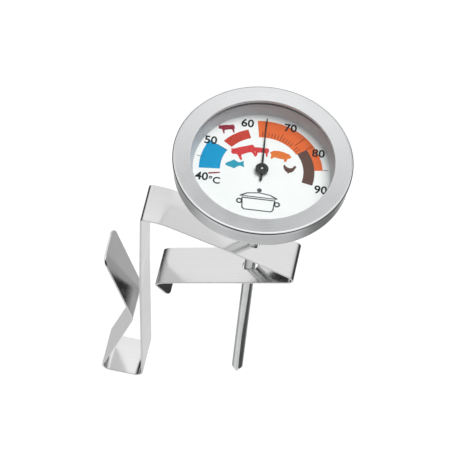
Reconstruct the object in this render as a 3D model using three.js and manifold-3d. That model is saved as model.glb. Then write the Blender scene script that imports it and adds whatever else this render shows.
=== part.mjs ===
// A dial probe thermometer with a sliding spring-steel clip.
// Millimetres, +Z up along the probe. The origin is on the clip's leg, where a pot wall bears against it.
import * as THREE from "three";
import { mergeVertices } from "three/addons/utils/BufferGeometryUtils.js";
import Module from "manifold-3d";

const wasm = await Module();
wasm.setup();

// ---- driving dimensions ----------------------------------------------------------------------

const fitGap = 0.1; // between coaxial pieces that touch on the real object
const ringSides = 72; // facets round the head
const stemSides = 24; // facets round the probe and its small parts

// Head, measured down from the bezel's front face
const bezelRadius = 26;
const bezelFace = 5.3; // width of its flat front ring
const bezelSheet = 0.5;
const bezelSkirt = 1.35; // height of the rolled outer edge
const bezelEdgeRound = 0.55;
const caseWall = 0.5;
const caseDepth = 6.7; // from the case's rim to its back
const caseFillet = 1.8;
const sealHeight = 0.5;
const lensHeight = 1.2;
const spacerFlare = 0.9; // how much narrower the spacer is at the dial
const spacerSheet = 0.4;
const dialSheet = 0.5;
const dialHoleRadius = 1;
const stakeHeight = 0.5; // the collar's staked flange, between the case's back and the dial

// Pointer
const pointerTipGap = 2.4; // from the bezel's opening
const pointerTail = 3.9;
const pointerSheet = 0.2;
const pointerRootWidth = 0.7;
const pointerTipWidth = 0.25;
const pointerEyeRadius = 1.3;
const pointerClearance = 0.4; // over the dial
const pointerHubRadius = 1.9;
const pointerHubHeight = 0.55;
const pointerAtRest = 6; // degrees anticlockwise from +Y, where the dial reads 65 degrees Celsius

// Probe
const probeLength = 115.3; // from the bezel's front face to the point
const tubeRadius = 1.75;
const tubeWall = 0.3;
const tipLength = 4;
const tipFlatRadius = 0.35;
const tipSpigot = 2.8;
const collarFlangeRadius = 3.8;
const collarNeckRadius = 2.6;
const collarFlangeHeight = 1.4;
const collarHeight = 3.2;
const shaftRadius = 0.4;
const bushHeight = 3.5;
const coilClearance = 0.38; // from the tube's bore to the middle of the strip
const coilStrip = [0.9, 0.1]; // height and thickness of the bimetal strip
const coilTurns = 36;
const coilHeight = 40;
const coilClampHeight = 3;
const coilAnchorHeight = 2.2;

// Clip: one steel strip, bent. Angles are degrees from +X, turning towards +Z.
const stripWidth = 13;
const stripSheet = 0.6;
const stripCutGap = 0.3; // at the two bends that flex
const legLean = 93.1; // direction of the lower leg
const legLeanUpper = 92.1;
const seatHeight = 32.2; // of the origin above the middle of the foot
const legLowerLength = 51.3;
const legUpperLength = 35;
const footLength = 13.5;
const shoulderLength = 6.5;
const shoulderSlope = -1.8;
const topLength = 23.2;
const topSlope = -18.9;
const topEndLength = 22.5;
const topEndSlope = -22.2;
const leverLength = 28.9;
const leverSlope = 199.5;
const leverEndLength = 18;
const leverEndSlope = 200.1;
const tabLength = 7.5;
const tabSlope = -45;
const jawLength = 33.3;
const jawSlope = 73.9;
const lipLength = 30.5;
const lipSlope = 109.3;
const apexBend = 5; // bend radii, to the middle of the sheet
const footBend = 2.4;
const cornerBend = 1.2;
const foldBend = 1.75;
const shoulderBend = 14;
const easyBend = 150;
const legBend = 500;
const lipCornerRadius = 3.2;
const tabCornerRadius = 1.8;
const leverCutFromFold = 4.8; // along the lever
const jawCutFromFoot = 3.6; // along the foot, from the jaw's corner

// Where the probe crosses the clip
const probeOffset = 31; // from the leg's wall face
const headHeight = 87.1; // bezel's front face above the origin
const holeClearance = 0.2;
const squeezeAngle = 12; // the lever's travel, which lengthens its slot

// ---- helpers ---------------------------------------------------------------------------------

const degrees = THREE.MathUtils.degToRad;
const v2 = (x, y) => new THREE.Vector2(x, y);

// A closed geometry as a solid that can be cut.
function solidOf(geometry) {
  const bare = new THREE.BufferGeometry().setAttribute("position", geometry.getAttribute("position"));
  if (geometry.index) bare.setIndex(geometry.index);
  const merged = mergeVertices(bare, 1e-4);
  const mesh = new wasm.Mesh({
    numProp: 3,
    vertProperties: new Float32Array(merged.attributes.position.array),
    triVerts: new Uint32Array(merged.index.array),
  });
  return new wasm.Manifold(mesh);
}

function geometryOf(solid) {
  const mesh = solid.getMesh();
  const geometry = new THREE.BufferGeometry();
  geometry.setAttribute("position", new THREE.BufferAttribute(mesh.vertProperties, 3));
  geometry.setIndex(new THREE.BufferAttribute(mesh.triVerts, 1));
  return geometry;
}

// Turns a closed profile of (radius, height) points about +Z. The points run anticlockwise.
function turned(profile, sides) {
  const points = [...profile, profile[0]];
  return new THREE.LatheGeometry(points, sides).rotateX(Math.PI / 2);
}

// A quarter circle of profile points about (r, z), from one angle to another.
function arc(r, z, radius, fromAngle, toAngle, steps = 6) {
  const points = [];
  for (let i = 0; i <= steps; i++) {
    const angle = degrees(THREE.MathUtils.lerp(fromAngle, toAngle, i / steps));
    points.push(v2(r + radius * Math.cos(angle), z + radius * Math.sin(angle)));
  }
  return points;
}

const ring = (inner, outer, low, high, sides) =>
  turned([v2(inner, low), v2(outer, low), v2(outer, high), v2(inner, high)], sides);

// The next corner of the strip, one straight run further on.
const onward = (from, angle, length) =>
  v2(from.x + length * Math.cos(degrees(angle)), from.y + length * Math.sin(degrees(angle)));

// The strip's middle line through its corners, rounded at each one: points with their side normals.
function bentLine(corners, radii) {
  const line = [];
  const normalOf = (a, b) => v2(-(b.y - a.y), b.x - a.x).normalize();
  line.push({ at: corners[0], normal: normalOf(corners[0], corners[1]) });
  for (let i = 1; i < corners.length - 1; i++) {
    const before = corners[i].clone().sub(corners[i - 1]).normalize();
    const after = corners[i + 1].clone().sub(corners[i]).normalize();
    const turn = Math.atan2(before.cross(after), before.dot(after));
    const tangent = radii[i - 1] * Math.tan(Math.abs(turn) / 2);
    const side = Math.sign(turn);
    const start = corners[i].clone().addScaledVector(before, -tangent);
    const centre = start.clone().addScaledVector(v2(-before.y, before.x), side * radii[i - 1]);
    const steps = Math.max(2, Math.ceil(Math.abs(turn) / degrees(9)));
    for (let s = 0; s <= steps; s++) {
      const at = start.clone().rotateAround(centre, (turn * s) / steps);
      const normal = centre.clone().sub(at).multiplyScalar(side).normalize();
      line.push({ at, normal });
    }
  }
  const last = corners.length - 1;
  line.push({ at: corners[last], normal: normalOf(corners[last - 1], corners[last]) });
  return line;
}

// The bent strip along that line, as wide as the clip, centred on y = 0.
function bentStrip(corners, radii) {
  const line = bentLine(corners, radii);
  const left = line.map(({ at, normal }) => at.clone().addScaledVector(normal, stripSheet / 2));
  const right = line.map(({ at, normal }) => at.clone().addScaledVector(normal, -stripSheet / 2));
  const outline = new THREE.Shape([...right, ...left.reverse()]);
  const geometry = new THREE.ExtrudeGeometry(outline, { depth: stripWidth, bevelEnabled: false });
  return solidOf(geometry.rotateX(Math.PI / 2).translate(0, stripWidth / 2, 0));
}

// A cutter through the sheet: a flat outline, with its x along the strip at that angle and its y across.
function punch(outline, at, angle) {
  const depth = 4 * stripSheet;
  const geometry = new THREE.ExtrudeGeometry(outline, { depth, bevelEnabled: false, curveSegments: 10 });
  geometry.translate(0, 0, -depth / 2);
  const along = new THREE.Vector3(Math.cos(degrees(angle)), 0, Math.sin(degrees(angle)));
  const across = new THREE.Vector3(0, 1, 0);
  const out = along.clone().cross(across);
  const place = new THREE.Matrix4().makeBasis(along, across, out).setPosition(at.x, 0, at.y);
  return solidOf(geometry.applyMatrix4(place));
}

// A slot with round ends, from x = -back to x = front.
function slotOutline(back, front, halfWidth) {
  const outline = new THREE.Shape();
  outline.absarc(front - halfWidth, 0, halfWidth, -Math.PI / 2, Math.PI / 2);
  outline.absarc(-back + halfWidth, 0, halfWidth, Math.PI / 2, (3 * Math.PI) / 2);
  return outline;
}

// What a round corner takes off a square strip end that points along +x. side is 1 or -1.
function cornerOutline(radius, side) {
  const edge = (side * stripWidth) / 2;
  const spare = 0.5;
  const outline = new THREE.Shape();
  outline.moveTo(-radius, edge);
  for (let i = 1; i < 8; i++) {
    const angle = (Math.PI / 2) * (1 - i / 8);
    outline.lineTo(-radius + radius * Math.cos(angle), edge - side * radius * (1 - Math.sin(angle)));
  }
  outline.lineTo(0, edge - side * radius);
  outline.lineTo(spare, edge - side * radius);
  outline.lineTo(spare, edge + side * spare);
  outline.lineTo(-radius, edge + side * spare);
  return outline;
}

function roundedEnd(strip, end, angle, radius) {
  for (const side of [-1, 1]) strip = strip.subtract(punch(cornerOutline(radius, side), end, angle));
  return strip;
}

// ---- materials -------------------------------------------------------------------------------

const finish = (color, roughness, metalness) => new THREE.MeshStandardMaterial({ color, roughness, metalness });
const brushedSteel = finish(0xc9cacb, 0.34, 1);
const polishedSteel = finish(0xd4d5d6, 0.14, 1);
const clearGlass = new THREE.MeshStandardMaterial({ color: 0xf4fafa, roughness: 0.03, transparent: true, opacity: 0.25 });
const whiteEnamel = finish(0xf7f9f9, 0.42, 0);
const blackLacquer = finish(0x151515, 0.35, 0);
const siliconeRubber = finish(0x5a5c5e, 0.7, 0);
const brass = finish(0xb9994f, 0.32, 1);
const bimetal = finish(0x9a948a, 0.4, 1);

const model = new THREE.Group();

function addPiece(name, geometry, material, parent) {
  const mesh = new THREE.Mesh(geometry, material);
  mesh.name = name;
  parent.add(mesh);
  return mesh;
}

// ---- the head --------------------------------------------------------------------------------

const head = new THREE.Group();
head.position.set(probeOffset, 0, headHeight);
model.add(head);

const bezelOpeningRadius = bezelRadius - bezelFace;
const caseRadius = bezelRadius - bezelSheet - fitGap;
const caseRim = -(bezelSheet + 2 * fitGap);
const caseBack = caseRim - caseDepth;
const caseBore = caseRadius - caseWall;
const packRadius = caseBore - 4 * fitGap; // the seal, lens and spacer drop into the case
const sealTop = -(bezelSheet + fitGap);
const lensTop = sealTop - sealHeight - fitGap;
const spacerTop = lensTop - lensHeight - fitGap;
const dialBack = caseBack + caseWall + stakeHeight + 2 * fitGap;
const dialTop = dialBack + dialSheet;
const spacerFootHeight = dialTop + fitGap;

// Rolled bezel: a flat front ring, a rounded outer edge with a short skirt, and a turned-in lip.
const lipDepth = 0.95;
addPiece(
  "bezel",
  turned(
    [
      v2(bezelOpeningRadius, -lipDepth),
      v2(bezelOpeningRadius + bezelSheet, -lipDepth),
      v2(bezelOpeningRadius + bezelSheet, -bezelSheet),
      v2(bezelRadius - bezelSheet, -bezelSheet),
      v2(bezelRadius - bezelSheet, -bezelSkirt),
      v2(bezelRadius, -bezelSkirt),
      ...arc(bezelRadius - bezelEdgeRound, -bezelEdgeRound, bezelEdgeRound, 0, 90, 4),
      ...arc(bezelOpeningRadius + bezelSheet, -bezelSheet, bezelSheet, 90, 180, 4),
    ],
    ringSides,
  ),
  brushedSteel,
  head,
);

// Case: a drawn cup with a rounded back edge and a hole for the collar.
const filletHeight = caseBack + caseFillet;
addPiece(
  "case",
  turned(
    [
      v2(collarNeckRadius + fitGap, caseBack),
      ...arc(caseRadius - caseFillet, filletHeight, caseFillet, -90, 0),
      v2(caseRadius, caseRim),
      v2(caseBore, caseRim),
      ...arc(caseRadius - caseFillet, filletHeight, caseFillet - caseWall, 0, -90),
      v2(collarNeckRadius + fitGap, caseBack + caseWall),
    ],
    ringSides,
  ),
  brushedSteel,
  head,
);

const sealInner = bezelOpeningRadius + bezelSheet + fitGap;
addPiece("lens_seal", ring(sealInner, packRadius, sealTop - sealHeight, sealTop, ringSides), siliconeRubber, head);
addPiece(
  "lens",
  turned(
    [v2(0, lensTop - lensHeight), v2(packRadius, lensTop - lensHeight), v2(packRadius, lensTop), v2(0, lensTop)],
    ringSides,
  ),
  clearGlass,
  head,
);

// Spacer: a pressed ring that carries the glass; its sloping wall shows between the glass and the dial.
const spacerMouth = bezelOpeningRadius + bezelSheet;
const spacerFoot = bezelOpeningRadius - spacerFlare;
addPiece(
  "spacer_ring",
  turned(
    [
      v2(spacerFoot, spacerFootHeight),
      v2(spacerFoot + spacerSheet, spacerFootHeight),
      v2(spacerMouth + spacerSheet, spacerTop - spacerSheet),
      v2(packRadius, spacerTop - spacerSheet),
      v2(packRadius, spacerTop),
      v2(spacerMouth, spacerTop),
    ],
    ringSides,
  ),
  polishedSteel,
  head,
);
addPiece(
  "dial_plate",
  ring(dialHoleRadius, caseRadius - caseWall - 1.5, dialBack, dialTop, ringSides),
  whiteEnamel,
  head,
);

// ---- the pointer and its shaft ---------------------------------------------------------------

const pointer = new THREE.Group();
pointer.rotation.z = degrees(pointerAtRest);
head.add(pointer);

const pointerLow = dialTop + pointerClearance;
const hubLow = pointerLow + pointerSheet + fitGap;
const hubTop = hubLow + pointerHubHeight;
const shaftHole = shaftRadius + fitGap;
const pointerReach = bezelOpeningRadius - pointerTipGap;

const needle = new THREE.Shape();
needle.moveTo(-pointerTipWidth / 2, pointerReach);
needle.lineTo(-pointerRootWidth / 2, pointerEyeRadius / 2);
needle.lineTo(-pointerRootWidth / 2, -pointerTail + pointerRootWidth / 2);
needle.absarc(0, -pointerTail + pointerRootWidth / 2, pointerRootWidth / 2, Math.PI, 2 * Math.PI);
needle.lineTo(pointerRootWidth / 2, pointerEyeRadius / 2);
needle.lineTo(pointerTipWidth / 2, pointerReach);
const blade = new THREE.ExtrudeGeometry(needle, { depth: pointerSheet, bevelEnabled: false, curveSegments: 8 });
const eye = turned(
  [v2(0, 0), v2(pointerEyeRadius, 0), v2(pointerEyeRadius, pointerSheet), v2(0, pointerSheet)],
  stemSides,
);
const shaftDrill = new THREE.CylinderGeometry(shaftHole, shaftHole, 1, stemSides).rotateX(Math.PI / 2);
addPiece(
  "pointer",
  geometryOf(solidOf(blade).add(solidOf(eye)).subtract(solidOf(shaftDrill))),
  blackLacquer,
  pointer,
).position.z = pointerLow;

// Hub: a small cap with a chamfered top edge.
const hubChamfer = 0.18;
addPiece(
  "pointer_hub",
  turned(
    [
      v2(shaftHole, hubLow),
      v2(pointerHubRadius, hubLow),
      v2(pointerHubRadius, hubTop - hubChamfer),
      v2(pointerHubRadius - hubChamfer, hubTop),
      v2(shaftHole, hubTop),
    ],
    stemSides,
  ),
  blackLacquer,
  pointer,
);

// ---- the probe -------------------------------------------------------------------------------

const tubeBore = tubeRadius - tubeWall;
const tipTop = -probeLength + tipLength;
const tubeTop = dialBack - 2 * fitGap;
const boreFit = tubeBore - fitGap;
const coilRadius = tubeBore - coilClearance;
addPiece("stem_tube", ring(tubeBore, tubeRadius, tipTop + fitGap, tubeTop, stemSides), polishedSteel, head);
addPiece(
  "stem_tip",
  turned(
    [
      v2(0, -probeLength),
      v2(tipFlatRadius, -probeLength),
      v2(tubeRadius, tipTop),
      v2(boreFit, tipTop),
      v2(boreFit, tipTop + tipSpigot),
      v2(0, tipTop + tipSpigot),
    ],
    stemSides,
  ),
  polishedSteel,
  head,
);

// Collar: holds the tube in the case's back, with a staked flange inside the case.
const collarTop = caseBack - fitGap;
const stakedRadius = collarNeckRadius + 0.9;
addPiece(
  "stem_collar",
  turned(
    [
      v2(tubeRadius + fitGap, collarTop - collarHeight),
      v2(collarNeckRadius, collarTop - collarHeight),
      v2(collarNeckRadius, collarTop - collarFlangeHeight),
      v2(collarFlangeRadius, collarTop - collarFlangeHeight),
      v2(collarFlangeRadius, collarTop),
      v2(collarNeckRadius, collarTop),
      v2(collarNeckRadius, caseBack + caseWall + fitGap),
      v2(stakedRadius, caseBack + caseWall + fitGap),
      v2(stakedRadius, dialBack - fitGap),
      v2(tubeRadius + fitGap, dialBack - fitGap),
    ],
    stemSides,
  ),
  polishedSteel,
  head,
);

const coilLow = tipTop + tipSpigot + fitGap + coilAnchorHeight + 2 * fitGap;
const coilTop = coilLow + coilHeight;
const clampLow = coilTop + 2 * fitGap;
const clampTop = clampLow + coilClampHeight;
const lowerBushLow = clampTop + 4 * fitGap;

addPiece(
  "upper_bush",
  ring(shaftHole, boreFit, tubeTop - fitGap - bushHeight, tubeTop - fitGap, stemSides),
  brass,
  head,
);
addPiece("lower_bush", ring(shaftHole, boreFit, lowerBushLow, lowerBushLow + bushHeight, stemSides), brass, head);
addPiece(
  "coil_anchor",
  turned(
    [
      v2(0, coilLow - 2 * fitGap - coilAnchorHeight),
      v2(boreFit, coilLow - 2 * fitGap - coilAnchorHeight),
      v2(boreFit, coilLow - 2 * fitGap),
      v2(0, coilLow - 2 * fitGap),
    ],
    stemSides,
  ),
  brass,
  head,
);

// Bimetal coil: a long flat box wound round the probe's axis.
function woundStrip() {
  const [stripHeight, stripThickness] = coilStrip;
  const geometry = new THREE.BoxGeometry(1, stripHeight, stripThickness, coilTurns * 14, 1, 1);
  const position = geometry.getAttribute("position");
  for (let i = 0; i < position.count; i++) {
    const share = position.getX(i) + 0.5;
    const angle = share * coilTurns * 2 * Math.PI;
    const radius = coilRadius + position.getZ(i);
    const rise = (coilHeight - stripHeight) * share + stripHeight / 2 + position.getY(i);
    position.setXYZ(i, radius * Math.sin(angle), -radius * Math.cos(angle), coilLow + rise);
  }
  return geometry;
}
addPiece("bimetal_coil", geometryOf(solidOf(woundStrip())), bimetal, head);

const shaftProud = 0.15; // above the hub
addPiece(
  "pointer_shaft",
  turned(
    [v2(0, clampLow), v2(shaftRadius, clampLow), v2(shaftRadius, hubTop + shaftProud), v2(0, hubTop + shaftProud)],
    stemSides,
  ),
  polishedSteel,
  pointer,
);
const clampRadius = coilRadius + coilStrip[1] / 2;
addPiece("coil_clamp", ring(shaftHole, clampRadius, clampLow, clampTop, stemSides), brass, pointer);

// ---- the clip --------------------------------------------------------------------------------

// Corners of the strip's middle line, from the foot outwards both ways.
const seatMiddle = v2(stripSheet / 2 / Math.sin(degrees(legLean)), 0);
const footCorner = v2(seatMiddle.x - seatHeight / Math.tan(degrees(legLean)), -seatHeight);
const jawCorner = v2(footCorner.x - footLength, -seatHeight);
const apex = onward(jawCorner, jawSlope, jawLength);
const lipEnd = onward(apex, lipSlope, lipLength);
const legKink = onward(footCorner, legLean, legLowerLength);
const topCorner = onward(legKink, legLeanUpper, legUpperLength);
const shoulder = onward(topCorner, shoulderSlope, shoulderLength);
const topKink = onward(shoulder, topSlope, topLength);
const fold = onward(topKink, topEndSlope, topEndLength);
const leverKink = onward(fold, leverSlope, leverLength);
const tabCorner = onward(leverKink, leverEndSlope, leverEndLength);
const tabEnd = onward(tabCorner, tabSlope, tabLength);

const leverHinge = onward(fold, leverSlope, leverCutFromFold);
const jawHinge = onward(jawCorner, 0, jawCutFromFoot);
const halfCut = stripCutGap / 2;

// The point of a straight run that lies on the probe's axis.
function onProbe(from, angle) {
  const run = (probeOffset - from.x) / Math.cos(degrees(angle));
  return onward(from, angle, run);
}

// Half the length of a hole that clears the probe in a plate sloping at that angle.
function holeReach(angle) {
  const slope = Math.abs(Math.tan(degrees(angle)));
  return tubeRadius * Math.hypot(1, slope) + (stripSheet / 2) * slope + holeClearance;
}

const topHole = slotOutline(holeReach(topEndSlope), holeReach(topEndSlope), tubeRadius + holeClearance);
const frameStrip = bentStrip(
  [
    onward(leverHinge, leverSlope, -halfCut),
    fold,
    topKink,
    shoulder,
    topCorner,
    legKink,
    footCorner,
    onward(jawHinge, 0, halfCut),
  ],
  [foldBend, easyBend, shoulderBend, cornerBend, legBend, footBend],
).subtract(punch(topHole, onProbe(topKink, topEndSlope), topEndSlope));
addPiece("clip_frame", geometryOf(frameStrip), polishedSteel, model);

// The lever's slot is longer towards the fold, because the lever swings as it is squeezed.
const leverSlope0 = leverSlope - 180;
const slotAt = onProbe(fold, leverSlope);
const leverArm = slotAt.distanceTo(leverHinge);
const swing = leverArm - (leverArm * Math.cos(degrees(leverSlope0))) / Math.cos(degrees(leverSlope0 - squeezeAngle));
const slotBack = holeReach(leverSlope0);
const slotFront = holeReach(leverSlope0 - squeezeAngle) + swing;
const leverStrip = bentStrip(
  [onward(leverHinge, leverSlope, halfCut), leverKink, tabCorner, tabEnd],
  [easyBend, cornerBend],
).subtract(punch(slotOutline(slotBack, Math.max(slotFront, slotBack), tubeRadius + holeClearance), slotAt, leverSlope0));
addPiece("release_lever", geometryOf(roundedEnd(leverStrip, tabEnd, tabSlope, tabCornerRadius)), polishedSteel, model);

const jawStrip = bentStrip([onward(jawHinge, 180, halfCut), jawCorner, apex, lipEnd], [footBend, apexBend]);
addPiece("clamp_jaw", geometryOf(roundedEnd(jawStrip, lipEnd, lipSlope, lipCornerRadius)), polishedSteel, model);

export default model;
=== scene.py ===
import math
import bpy
import bmesh
from mathutils import Matrix, Vector


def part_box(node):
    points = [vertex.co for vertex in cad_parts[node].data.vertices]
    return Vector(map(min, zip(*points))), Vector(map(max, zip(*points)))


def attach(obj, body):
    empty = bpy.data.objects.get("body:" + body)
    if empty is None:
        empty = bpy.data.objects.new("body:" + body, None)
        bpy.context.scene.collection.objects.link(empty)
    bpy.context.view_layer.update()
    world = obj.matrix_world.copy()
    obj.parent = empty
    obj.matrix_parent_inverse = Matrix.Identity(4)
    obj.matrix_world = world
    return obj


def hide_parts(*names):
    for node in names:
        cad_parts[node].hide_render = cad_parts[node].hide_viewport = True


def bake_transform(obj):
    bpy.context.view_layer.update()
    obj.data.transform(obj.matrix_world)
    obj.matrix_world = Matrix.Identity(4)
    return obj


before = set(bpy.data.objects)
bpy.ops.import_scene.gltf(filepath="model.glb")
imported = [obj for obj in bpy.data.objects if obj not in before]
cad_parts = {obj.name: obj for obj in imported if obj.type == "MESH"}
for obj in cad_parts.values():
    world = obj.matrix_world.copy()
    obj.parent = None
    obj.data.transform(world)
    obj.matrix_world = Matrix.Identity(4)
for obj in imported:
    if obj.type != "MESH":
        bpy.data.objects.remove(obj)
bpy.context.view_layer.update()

mm = 0.001
probeX = 31 * mm  # the probe's axis crosses the clip's profile here
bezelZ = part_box("bezel")[1].z  # front face of the bezel
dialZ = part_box("dial_plate")[1].z
dialTurn = 5.5  # the printed scale's top sits this far anticlockwise of +Y, in degrees
headCentre = Vector((probeX, 0, bezelZ))


# ---- small tools ----

def srgb(hexColour):
    def channel(i):
        c = int(hexColour[i:i + 2], 16) / 255
        return c / 12.92 if c <= 0.04045 else ((c + 0.055) / 1.055) ** 2.4
    return (channel(1), channel(3), channel(5), 1)


def addNode(tree, kind, links=None, inputs=None, **settings):
    # links: input name or number -> output socket; inputs: input name or number -> value
    node = tree.nodes.new(kind)
    for key, value in settings.items():
        setattr(node, key, value)
    for key, value in (inputs or {}).items():
        node.inputs[key].default_value = value
    for key, socket in (links or {}).items():
        tree.links.new(socket, node.inputs[key])
    return node


def newMaterial(name):
    mat = bpy.data.materials.new(name)
    mat.use_nodes = True
    tree = mat.node_tree
    return mat, tree, tree.nodes["Principled BSDF"]


def setStops(ramp, stops):
    # stops: list of (position, grey or colour)
    while len(ramp.color_ramp.elements) > 2:
        ramp.color_ramp.elements.remove(ramp.color_ramp.elements[-1])
    while len(ramp.color_ramp.elements) < len(stops):
        ramp.color_ramp.elements.new(0.5)
    for element, (position, value) in zip(ramp.color_ramp.elements, stops):
        element.position = position
        element.color = value if isinstance(value, tuple) else (value, value, value, 1)


def objectFromBmesh(bm, name):
    mesh = bpy.data.meshes.new(name)
    bm.to_mesh(mesh)
    bm.free()
    obj = bpy.data.objects.new(name, mesh)
    bpy.context.scene.collection.objects.link(obj)
    return obj


def bakeModifiers(obj):
    # turns the piece's modifiers into plain mesh
    bpy.context.view_layer.update()
    evaluated = obj.evaluated_get(bpy.context.evaluated_depsgraph_get())
    mesh = bpy.data.meshes.new_from_object(evaluated)
    obj.modifiers.clear()
    obj.data = mesh


def addBevel(obj, width, segments=2, angle=35):
    mod = obj.modifiers.new("edge bevel", "BEVEL")
    mod.width = width
    mod.segments = segments
    mod.limit_method = "ANGLE"
    mod.angle_limit = math.radians(angle)
    mod.use_clamp_overlap = True
    return mod


def smoothFaces(obj, angle=32):
    obj.data.shade_smooth()
    obj.data.set_sharp_from_angle(angle=math.radians(angle))


def addWeightedNormals(obj):
    mod = obj.modifiers.new("face-weighted normals", "WEIGHTED_NORMAL")
    mod.keep_sharp = True
    mod.weight = 60


def finishPiece(obj, material, body, stands=()):
    obj.data.materials.clear()
    obj.data.materials.append(material)
    if body:
        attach(obj, body)
    if stands:
        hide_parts(*stands)
    return obj


def spinProfile(name, points, steps, closed=True, edgeBevel=0.0, bevelSegments=2, sharpAngle=32):
    # points: (radius, height below the bezel's face) in mm, spun about the probe's axis
    bm = bmesh.new()
    first = bm.verts.new((probeX + points[0][0] * mm, 0, bezelZ + points[0][1] * mm))
    last = first
    for radius, height in points[1:]:
        made = bmesh.ops.extrude_vert_indiv(bm, verts=[last])
        last = made["verts"][0]
        last.co = (probeX + radius * mm, 0, bezelZ + height * mm)
    if closed:
        bm.edges.new((last, first))
    bmesh.ops.spin(bm, geom=bm.verts[:] + bm.edges[:], cent=headCentre, axis=(0, 0, 1),
                   angle=2 * math.pi, steps=steps, use_merge=True, use_duplicate=False)
    bmesh.ops.remove_doubles(bm, verts=bm.verts, dist=1e-7)
    bmesh.ops.recalc_face_normals(bm, faces=bm.faces)
    obj = objectFromBmesh(bm, name)
    if edgeBevel:
        addBevel(obj, edgeBevel * mm, bevelSegments)
        bakeModifiers(obj)
    smoothFaces(obj, sharpAngle)
    addWeightedNormals(obj)
    return obj


def arcPoints(r, z, radius, fromAngle, toAngle, steps):
    points = []
    for i in range(steps + 1):
        a = math.radians(fromAngle + (toAngle - fromAngle) * i / steps)
        points.append((r + radius * math.cos(a), z + radius * math.sin(a)))
    return points


# ---- materials ----

def ringCoordinates(tree):
    # radius from the probe's axis and height under the bezel, in metres
    place = addNode(tree, "ShaderNodeTexCoord")
    centred = addNode(tree, "ShaderNodeMapping", {"Vector": place.outputs["Object"]},
                      {"Location": (-probeX, 0, -bezelZ)}, vector_type="POINT")
    parts = addNode(tree, "ShaderNodeSeparateXYZ", {0: centred.outputs[0]})
    flat = addNode(tree, "ShaderNodeCombineXYZ", {0: parts.outputs[0], 1: parts.outputs[1]})
    radius = addNode(tree, "ShaderNodeVectorMath", {0: flat.outputs[0]}, operation="LENGTH")
    return centred.outputs[0], radius.outputs["Value"], parts.outputs[2]


def satinTurnedSteel():
    # Stainless sheet, pressed and then brushed while it turns: soft grey, with fine rings round the face
    # that stretch the highlights. The rolled edge, past 25.4 mm from the axis, is left bright, and the turned-in lip is dull. The real grit
    # lines are 0.03 mm; they are drawn at 0.25 mm to show.
    mat, tree, shader = newMaterial("stainless steel, satin turned")
    centred, radius, height = ringCoordinates(tree)
    line = addNode(tree, "ShaderNodeMath", {0: radius, 1: height}, operation="ADD")
    rings = addNode(tree, "ShaderNodeTexNoise", {"W": line.outputs[0]},
                    {"Scale": 4000, "Detail": 3, "Roughness": 0.6}, noise_dimensions="1D")
    cloud = addNode(tree, "ShaderNodeTexNoise", {"Vector": centred},
                    {"Scale": 140, "Detail": 2}, noise_dimensions="3D")
    shade = addNode(tree, "ShaderNodeValToRGB", {"Fac": rings.outputs["Fac"]})
    setStops(shade, [(0.3, srgb("#c9cacb")), (0.7, srgb("#dddedf"))])
    satin = addNode(tree, "ShaderNodeMapRange", {"Value": cloud.outputs["Fac"]},
                    {"From Min": 0.3, "From Max": 0.7, "To Min": 0.25, "To Max": 0.32})
    onEdge = addNode(tree, "ShaderNodeMapRange", {"Value": radius},
                     {"From Min": 25.4 * mm, "From Max": 25.5 * mm, "To Min": 1.0, "To Max": 0.35})
    onLip = addNode(tree, "ShaderNodeMapRange", {"Value": radius},
                    {"From Min": 20.8 * mm, "From Max": 20.9 * mm, "To Min": 2.4, "To Max": 1.0})
    both = addNode(tree, "ShaderNodeMath", {0: onEdge.outputs[0], 1: onLip.outputs[0]}, operation="MULTIPLY")
    rough = addNode(tree, "ShaderNodeMath", {0: satin.outputs[0], 1: both.outputs[0]}, operation="MULTIPLY")
    bump = addNode(tree, "ShaderNodeBump", {"Height": rings.outputs["Fac"]},
                   {"Strength": 0.12, "Distance": 0.00004})
    tree.links.new(shade.outputs[0], shader.inputs["Base Color"])
    tree.links.new(rough.outputs[0], shader.inputs["Roughness"])
    tree.links.new(bump.outputs[0], shader.inputs["Normal"])
    shader.inputs["Metallic"].default_value = 1
    return mat


def rolledSpringSteel():
    # Cold-rolled stainless spring strip, bright: nearly a mirror, with faint lines along the rolling
    # direction. The strip runs in X and Z, so the lines are bands across Y, 0.4 mm apart.
    mat, tree, shader = newMaterial("stainless spring strip, bright rolled")
    place = addNode(tree, "ShaderNodeTexCoord")
    stretched = addNode(tree, "ShaderNodeMapping", {"Vector": place.outputs["Object"]},
                        {"Scale": (30, 1400, 30)})
    lines = addNode(tree, "ShaderNodeTexNoise", {"Vector": stretched.outputs[0]},
                    {"Scale": 1, "Detail": 4, "Roughness": 0.65})
    handling = addNode(tree, "ShaderNodeTexNoise", {"Vector": place.outputs["Object"]},
                       {"Scale": 160, "Detail": 3, "Roughness": 0.5})
    shade = addNode(tree, "ShaderNodeValToRGB", {"Fac": lines.outputs["Fac"]})
    setStops(shade, [(0.3, srgb("#d8d8d8")), (0.7, srgb("#dcdcdc"))])
    rough = addNode(tree, "ShaderNodeMapRange", {"Value": handling.outputs["Fac"]},
                    {"From Min": 0.3, "From Max": 0.7, "To Min": 0.12, "To Max": 0.17})
    bump = addNode(tree, "ShaderNodeBump", {"Height": lines.outputs["Fac"]},
                   {"Strength": 0.03, "Distance": 0.00002})
    tree.links.new(shade.outputs[0], shader.inputs["Base Color"])
    tree.links.new(rough.outputs[0], shader.inputs["Roughness"])
    tree.links.new(bump.outputs[0], shader.inputs["Normal"])
    shader.inputs["Metallic"].default_value = 1
    return mat


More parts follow.
